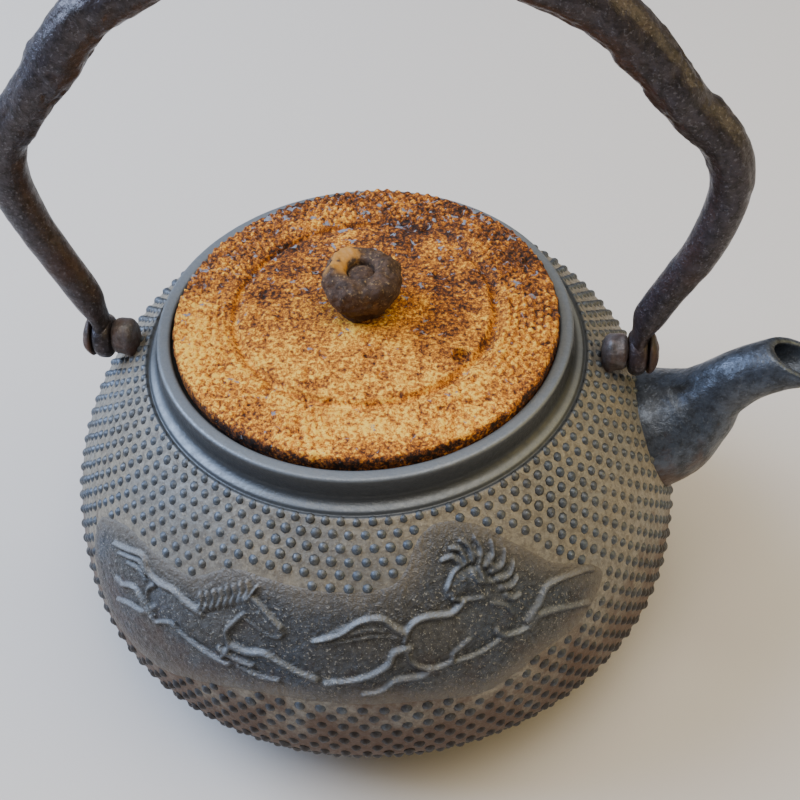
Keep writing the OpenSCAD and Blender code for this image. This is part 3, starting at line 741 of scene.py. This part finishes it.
crust = layeredNoise(lidGrid, 6, 11, 4)
scab = np.maximum(layeredNoise(lidGrid, 2.2, 21) - 0.05, 0)
pit = np.maximum(layeredNoise(lidGrid, 3.2, 31) - 0.28, 0)
worn = 0.35 + 0.65 * ease(layeredNoise(lidGrid, 17, 41), -0.45, 0.25)
rise = (lid["crust"] * crust + lid["scab"] * scab - lid["pit"] * pit
        + lid["dotHeight"] * worn * lidDots(lidRadius, lidAngle) * (lidRadius < 51))
ventAway = np.hypot(lidGrid[..., 0] - lid["vent"][0], lidGrid[..., 1] - lid["vent"][1])
rise -= lid["ventDepth"] * ease(-ventAway, -lid["ventRadius"] - 0.5, -lid["ventRadius"] + 0.3)
rise = np.where(topSide, np.clip(rise, lid["deepest"], lid["highest"]), 0.08 * crust)
rise *= ease(lidRadius, 0.5, 2)
lidNormals = gridNormals(lidGrid)
lidGrid += lidNormals * rise[..., None] * np.sign(lidNormals[0, 0, 2])
# the loose lid has slid towards the spout and the back of the mouth, and stands higher there
slid = ease(lidRadius, 8, 40)[..., None]
lidGrid += slid * [lid["slideX"], lid["slideY"], 0]
lidGrid[..., 2] += lid["lean"] * slid[..., 0] * np.clip((lidGrid[..., 0] + lidGrid[..., 1]) / 70, 0, 1)
points, faces = closedShell(lidGrid, "poles")
# painted shade: the rim's outer side, down into the gap at the collar, is darkened in the mask
onRim = ease(lidRadius, *lid["rimRadius"]) * (lidGrid[..., 2] < lid["rimTop"])
lidMask = np.clip(0.45 + rise * 0.6, 0, 1) - lid["rimShade"] * onRim
makePiece("lidSkin", points, faces, "lid", "lid_rust", lidRust, ("lid",),
          relief=np.concatenate([lidMask.ravel(), [0.5, 0.5]]))


# knob

knob = {"base": 107.2, "columns": 128, "step": 0.45, "patchFrom": (118.4, 119.8),
        "lobes": 0.8, "lumps": 1.3, "fineLumps": 0.6}
knobProfile = evenSteps(cutCorners([
    (2.05, 0), (6.3, 0), (6.6, 0.8), (6.2, 1.8), (7.4, 3.6), (9.3, 5.8), (10.1, 8.2), (9.8, 10.4),
    (8.5, 12.4), (7.0, 13.4), (5.4, 13.4), (4.2, 13.0), (3.7, 12.2), (3.65, 10.45), (2.05, 10.4),
    (2.05, 0.2)]), knob["step"])
knobGrid = turned(knobProfile + [0, knob["base"]], knob["columns"])
knobAngle = np.arctan2(knobGrid[..., 1], knobGrid[..., 0])
outward = ease(knobProfile[:, 0], 3.5, 8)[:, None]
lobes = knob["lobes"] * np.abs(np.cos(2.5 * knobAngle + 0.4 * np.sin(0.4 * knobGrid[..., 2]))) - 0.6
lumps = knob["lumps"] * layeredNoise(knobGrid, 4.2, 51)
lumps = lumps + knob["fineLumps"] * np.abs(layeredNoise(knobGrid, 1.7, 55))
knobRise = outward * (lobes + lumps - 0.4)
knobGrid -= gridNormals(knobGrid) * knobRise[..., None]
points, faces = closedShell(knobGrid, "joined")
topPatch = ease(knobGrid[..., 2], *knob["patchFrom"])  # only high up, to the left and the back
topPatch *= ease(-knobGrid[..., 0], -1, 2.5) * ease(knobGrid[..., 1], -4, 0)
topPatch *= ease(layeredNoise(knobGrid, 2.5, 57), -0.3, 0)
makePiece("knobSkin", points, faces, "knob", "knob_iron", knobIron, ("knob",), smoothed=topPatch)


# handle

handle = {"columns": 72, "ringStep": 0.85, "eyeX": 73.2, "eyeHalf": 2.5, "eyeRadius": 6.3, "boreRadius": 2.55,
          "pivot": 93, "pits": 1.3, "waves": 0.35, "inwards": 0.2}
handleRows = [  # x, z, half width in the plane, half width along Y, shift along Y
    (-73.2, 97, 2.4, 4.4, 0), (-73.5, 101.5, 2.6, 4.5, 0), (-75, 107, 4.4, 4.4, .2),
    (-77.6, 114.5, 4.6, 4.6, .4), (-80.8, 123, 4.8, 4.8, .7), (-83.6, 131.5, 4.9, 4.9, .8),
    (-85.8, 143, 5.5, 5.4, .5), (-85.6, 152, 6, 5.8, 0), (-82.6, 160.6, 6.1, 5.8, -.6),
    (-76.4, 167.4, 5.5, 5.7, -1), (-71, 173.6, 5.9, 5.8, -1.2), (-66, 179.6, 6.2, 6, -1),
    (-57.4, 190, 6, 6, -.4), (-45, 197.6, 5.8, 6, .4), (-31, 203.8, 5.7, 6, 1), (-16, 206.8, 6, 5.9, 1.2),
    (0, 208, 6.1, 6.1, .8), (17, 207.2, 5.8, 5.9, .2), (34, 204, 5.8, 6, -.6), (49.2, 197.9, 6.1, 6, -1),
    (60.9, 189.6, 6, 6, -1), (70, 178.4, 6, 5.9, -.4), (77.4, 169, 5.8, 5.8, .2), (85.2, 161, 5.5, 5.6, .6),
    (88.8, 151, 5.3, 5.4, .8), (88.6, 142, 5.1, 5.2, .6), (85.6, 130, 4.9, 4.9, .2),
    (81.4, 121, 4.7, 4.7, -.2), (78, 113.6, 4.5, 4.5, -.2), (75, 106.4, 4.4, 4.4, -.1),
    (73.5, 101, 2.6, 4.5, 0), (73.2, 97, 2.4, 4.4, 0)]
handleKnots = [  # share of the handle's length, angle round it, size, height
    (0.21, 3.4, 4.0, 1.1), (0.27, 0.4, 4.5, 1.0), (0.30, 2.7, 3.6, 1.3), (0.335, 4.9, 4.0, 0.9),
    (0.45, 1.5, 4.5, 0.9), (0.56, 3.3, 4.2, 1.0), (0.655, 1.2, 4.2, 1.1), (0.70, 3.5, 3.8, 1.0),
    (0.745, 5.2, 4.2, 1.1), (0.78, 0.3, 4.5, 1.0), (0.12, 1.8, 3.0, 0.5), (0.88, 4.4, 3.0, 0.5)]

handlePath = evenSteps(throughRows(handleRows, 12), handle["ringStep"])
handleGrid = tubeRings(handlePath, handle["columns"])
share = np.linspace(0, 1, len(handlePath))[:, None]
length = share * handle["ringStep"] * len(handlePath)
turn = np.arange(handle["columns"]) / handle["columns"] * fullTurn
barkSpace = np.stack(np.broadcast_arrays(6 * np.cos(turn), 6 * np.sin(turn), length / 3.2), axis=-1)
# bark on the arch only: the legs below it are smoother
upper = ease(share, 0.13, 0.22) * (1 - ease(share, 0.80, 0.88))
fissure = np.abs(latticeNoise(barkSpace, 3.2, 61)) - 0.35
scale = layeredNoise(handleGrid, 3.4, 71)
pitted = np.maximum(layeredNoise(handleGrid, 1.9, 75) - 0.2, 0)
pitted = pitted * ease(latticeNoise(handleGrid, 11, 77), -0.1, 0.35)
bark = (upper * (0.5 * fissure + 0.35 * scale) + (1 - upper) * (0.14 * scale + 0.12 * fissure)
        - handle["pits"] * upper * pitted)
bark += handle["waves"] * layeredNoise(handleGrid, 14, 81) * (0.3 + upper)
for where, around, size, height in handleKnots:
    aside = (turn - around + math.pi) % fullTurn - math.pi
    away = ((share - where) * length[-1] / size) ** 2 + (aside * 6 / size) ** 2
    bark = bark + height * np.exp(-2 * away) - 0.4 * height * np.exp(-6 * away)
bark *= ease(share, 0.0, 0.03) * (1 - ease(share, 0.97, 1.0))
outside = handleGrid - handleGrid.mean(axis=1, keepdims=True)
outside /= np.linalg.norm(outside, axis=-1, keepdims=True)
handleGrid += outside * (bark - handle["inwards"])[..., None]
points, faces = closedShell(handleGrid, "poles")
makePiece("handleSkin", points, faces, "handle", "handle_iron", barkIron, ("handle",))


# a ring with rounded edges round the X axis: the profile (distance from the axis, x) is turned about it
def turnedAboutX(profile, columns, height):
    angle = np.arange(columns) / columns * fullTurn
    r, x = profile[:, 0, None], profile[:, 1, None]
    return np.stack([x + 0 * angle, r * np.cos(angle), height + r * np.sin(angle)], axis=-1)


eyeHalf, eyeRadius, bore = handle["eyeHalf"], handle["eyeRadius"], handle["boreRadius"]
eyeProfile = evenSteps(cutCorners([
    (bore, 0), (bore, eyeHalf - 0.2), (bore + 0.3, eyeHalf), (eyeRadius - 1.2, eyeHalf - 0.1),
    (eyeRadius - 0.1, eyeHalf - 1.1), (eyeRadius, 0), (eyeRadius - 0.1, 1.1 - eyeHalf),
    (eyeRadius - 1.2, 0.1 - eyeHalf), (bore + 0.3, -eyeHalf), (bore, 0.2 - eyeHalf), (bore, -0.1)]), 0.45)
for name, side in (("handleEyeLeft", -1), ("handleEyeRight", 1)):
    grid = turnedAboutX(eyeProfile + [0, side * handle["eyeX"]], 64, handle["pivot"])
    edge = ease(eyeProfile[:, 0], 4.0, 6.0)[:, None]
    hammered = 0.28 * layeredNoise(grid, 3.0, 91) * edge - 0.12 * edge
    spread = np.stack([0 * edge, 1 + 0 * edge, 1 + 0 * edge], axis=-1)
    away = grid - [side * handle["eyeX"], 0, handle["pivot"]]
    grid = grid + away / eyeRadius * spread * hammered[..., None]
    points, faces = closedShell(grid, "joined")
    makePiece(name, points, faces, "handle", "handle_iron", barkIron)


# pins and lugs

pins = {"rootX": 65.8, "shankRadius": 2.5, "headRadius": 5.8, "headRise": 2.4, "columns": 56}
lugs = {"fromX": 63.8, "toX": 70.3, "rings": 22, "columns": 64, "radius": 6, "foot": 9, "flare": 0.2}
headAngle = np.linspace(0, 1.45, 9)
pinProfile = np.concatenate([
    [(0.3, 0), (2.1, 0)], [(pins["shankRadius"], x) for x in (0.4, 3, 6, 10.2)], [(5.5, 10.2), (5.75, 10.5)],
    np.stack([pins["headRadius"] * np.cos(headAngle) ** 0.9,
              10.8 + pins["headRise"] * np.sin(headAngle)], axis=1)])
pinProfile = evenSteps(pinProfile, 0.5)
for name, side in (("Left", -1), ("Right", 1)):
    grid = turnedAboutX(pinProfile + [0, pins["rootX"]], pins["columns"], handle["pivot"])
    onHead = ease(pinProfile[:, 1], 10.4, 11.2)[:, None]
    dent = onHead * (0.55 * layeredNoise(grid, 3.2, 101 + side) - 0.15)
    away = grid - [pins["rootX"] + 9, 0, handle["pivot"]]
    grid = grid + away / np.linalg.norm(away, axis=-1, keepdims=True) * np.minimum(dent, 0.05)[..., None]
    grid[..., 0] *= side
    points, faces = closedShell(grid, "poles")
    makePiece("pin" + name, points, faces, "kettle", "pin_iron", pinIron, ("handle_pin_" + name.lower(),))
    # a lug is a stub whose rings reach further down the nearer they are to the wall
    x = np.linspace(lugs["fromX"], lugs["toX"], lugs["rings"])[:, None]
    angle = np.arange(lugs["columns"]) / lugs["columns"] * fullTurn
    grow = 0.82 * np.sqrt(1 - np.clip((66.4 - x) / 2.8, 0, 1) ** 2) - 0.1 * ease(x, 69.3, lugs["toX"])
    below = np.maximum(-np.sin(angle), 0) ** 1.3
    foot = lugs["foot"] * (1 - ease(x, 60, 69)) * below
    flare = 1 + lugs["flare"] * (1 - ease(x, 60, 67))
    grid = np.stack(np.broadcast_arrays(
        x, lugs["radius"] * grow * flare * np.cos(angle),
        handle["pivot"] + lugs["radius"] * grow * np.sin(angle) - foot), axis=-1)
    centre = grid.mean(axis=1, keepdims=True)
    out = (grid - centre) / np.linalg.norm(grid - centre, axis=-1, keepdims=True)
    grid = grid + out * (0.35 * layeredNoise(grid, 4, 111 + side) * (1 - ease(x, 68, 70)))[..., None]
    grid[..., 0] *= side
    points, faces = closedShell(grid, "poles")
    makePiece("lug" + name, points, faces, "kettle", "spout_iron", lugIron, ("lug_" + name.lower(),))


# spout

spout = {"columns": 112, "outerRings": 96, "innerRings": 60, "uneven": 0.28, "wall": 2.2,
         "mouthBack": (107.5, 95.6), "mouthLip": (126.5, 87.2), "lipX": 126.4}
spoutRows = [(70, 58, 18.6), (78, 61.5, 18), (86, 66.5, 16), (92, 72.5, 12.2), (96.5, 79, 8.8),
             (101.5, 84.5, 7.7), (108, 88.8, 7.4), (116, 91.6, 7.4), (130, 94, 7.6)]


# the tube at an inset, cut along each of its lines where that line meets the mouth: the cut plane runs
# down from the mouth's back to its lip, and the lip stops at a fixed x
def spoutWall(inset, rings):
    rows = np.array([(x, z, r - inset, r - inset, 0) for x, z, r in spoutRows])
    fine = tubeRings(throughRows(rows, 40), spout["columns"])
    slope = np.subtract(spout["mouthLip"], spout["mouthBack"])
    backX, backZ = spout["mouthBack"]
    over = (fine[..., 2] - backZ) * slope[0] - (fine[..., 0] - backX) * slope[1]
    past = (over > 0) & (fine[..., 0] > 100) | (fine[..., 0] > spout["lipX"])
    last = np.argmax(past, axis=0) - 1
    at = np.linspace(0, 1, rings)[:, None] * last
    lower = np.floor(at).astype(int)
    column = np.arange(spout["columns"])
    part = (at - lower)[..., None]
    return fine[lower, column] * (1 - part) + fine[np.minimum(lower + 1, len(fine) - 1), column] * part


outerWall = spoutWall(0, spout["outerRings"])
innerWall = spoutWall(spout["wall"], spout["innerRings"])[::-1]
outerWall = outerWall + gridNormals(outerWall) * -spout["uneven"] * layeredNoise(outerWall, 7, 121)[..., None]
middle = (outerWall[-1] + innerWall[0]) / 2
lift = np.array([0.35, 0, 0.55])
lipRing = np.stack([outerWall[-1] * 0.8 + middle * 0.2 + lift * 0.7, middle + lift,
                    innerWall[0] * 0.8 + middle * 0.2 + lift * 0.7])
points, faces = closedShell(np.concatenate([outerWall, lipRing, innerWall]), "joined")
makePiece("spoutSkin", points, faces, "kettle", "spout_iron", spoutIron, ("spout",))

for name in ("knob_stem", "clinch_washer"):
    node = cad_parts[name]
    node.data.materials.clear()
    node.data.materials.append(knobIron)


# floor, light and camera

# one colour and one roughness all over
def plainMaterial(name, colour, roughness):
    material = bpy.data.materials.new(name)
    material.use_nodes = True
    shader = material.node_tree.nodes["Principled BSDF"]
    shader.inputs["Base Color"].default_value = toLinear(colour)
    shader.inputs["Roughness"].default_value = roughness
    return material


floorMesh = bpy.data.meshes.new("floor")
floorMesh.from_pydata([(-4, -4, 0), (4, -4, 0), (4, 4, 0), (-4, 4, 0)], [], [(0, 1, 2, 3)])
floorMesh.materials.append(plainMaterial("palePaper", "D3CBC1", 0.9))
floor = bpy.data.objects.new("floor", floorMesh)
bpy.context.scene.collection.objects.link(floor)


# an area light that faces a target point
def addLight(name, place, target, size, power, colour):
    data = bpy.data.lights.new(name, "AREA")
    data.shape = "RECTANGLE"
    data.size, data.size_y = size
    data.energy = power
    data.color = toLinear(colour)[:3]
    light = bpy.data.objects.new(name, data)
    back = np.subtract(place, target)
    light.matrix_world = lookMatrix(place, back, 0)
    bpy.context.scene.collection.objects.link(light)


# a matrix whose Z axis points back from the target, whose X axis is level, turned by roll
def lookMatrix(place, back, roll):
    back = np.array(back, float) / np.linalg.norm(back)
    right = np.cross((0, 0, 1), back)
    right /= np.linalg.norm(right)
    up = np.cross(back, right)
    turn = math.radians(roll)
    right, up = right * math.cos(turn) + up * math.sin(turn), up * math.cos(turn) - right * math.sin(turn)
    matrix = np.eye(4)
    matrix[:3, 0], matrix[:3, 1], matrix[:3, 2], matrix[:3, 3] = right, up, back, place
    return Matrix(matrix.tolist())


view = {"azimuth": 6.93, "elevation": 47.5, "roll": -3.09, "distance": 0.3543,
        "aim": (0.0076, 0.0066, 0.0632), "lens": 54}
azimuth, elevation = math.radians(view["azimuth"]), math.radians(view["elevation"])
back = np.array([math.sin(azimuth) * math.cos(elevation), -math.cos(azimuth) * math.cos(elevation),
                 math.sin(elevation)])
cameraData = bpy.data.cameras.new("camera")
cameraData.lens = view["lens"]
cameraData.clip_start = 0.01
camera = bpy.data.objects.new("camera", cameraData)
camera.matrix_world = lookMatrix(np.array(view["aim"]) + back * view["distance"], back, view["roll"])
bpy.context.scene.collection.objects.link(camera)
bpy.context.scene.camera = camera

addLight("window", (-0.95, 0.15, 0.85), (0, 0, 0.08), (0.9, 0.8), 31, "BFD8FF")
addLight("ceiling", (0.15, -0.05, 1.35), (0, 0, 0.06), (1.2, 1.0), 17, "F6F1E8")
addLight("room", (1.0, 0.0, 0.65), (0, 0, 0.06), (0.9, 0.9), 6, "F5DC90")
world = bpy.data.worlds.new("room")
bpy.context.scene.world = world
world.use_nodes = True
world.node_tree.nodes["Background"].inputs["Color"].default_value = toLinear("D2CBC9")
world.node_tree.nodes["Background"].inputs["Strength"].default_value = 0.22

print("scene ready")
